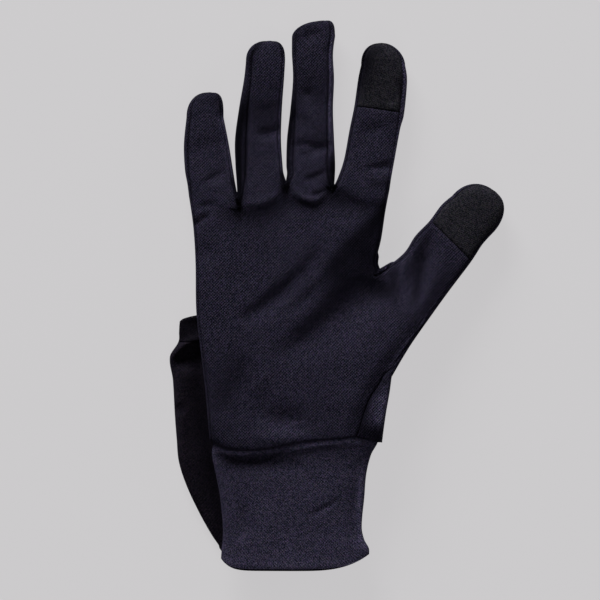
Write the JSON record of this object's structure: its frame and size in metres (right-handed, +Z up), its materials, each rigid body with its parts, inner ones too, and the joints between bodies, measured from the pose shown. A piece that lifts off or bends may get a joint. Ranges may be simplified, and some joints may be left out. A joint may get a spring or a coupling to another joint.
{
  "type": "convertible glove",
  "caption": "Knit liner glove for the right hand with touch-screen fingertips, a close cuff and a mitten hood folded back behind the hand.",
  "frame": {"origin": "centre of the bounding box at the surface the glove lies on", "axes": "+X towards the thumb side, +Y towards the fingertips, +Z up out of the palm"},
  "size_m": [0.157, 0.2578, 0.0235],
  "materials": {
    "palm_knit": "smooth stretch knit with a soft sheen",
    "back_knit": "smooth stretch knit with a soft sheen",
    "side_knit": "smooth stretch knit, a little darker between the fingers",
    "cuff_rib": "doubled stretch knit",
    "hood_knit": "smooth stretch knit",
    "touch_knit": "charcoal conductive knit with a fine pale fleck"
  },
  "bodies": {
    "root": {"palm_panel": "palm_knit", "back_panel": "back_knit", "cuff": "cuff_rib", "mitten_hood": "hood_knit", "hood_hem": "hood_knit", "fourchette_little_ring": "side_knit", "fourchette_ring_middle": "side_knit", "fourchette_middle_index": "side_knit", "index_touch_tip": "touch_knit", "thumb_touch_tip": "touch_knit"}
  },
  "joints": []
}
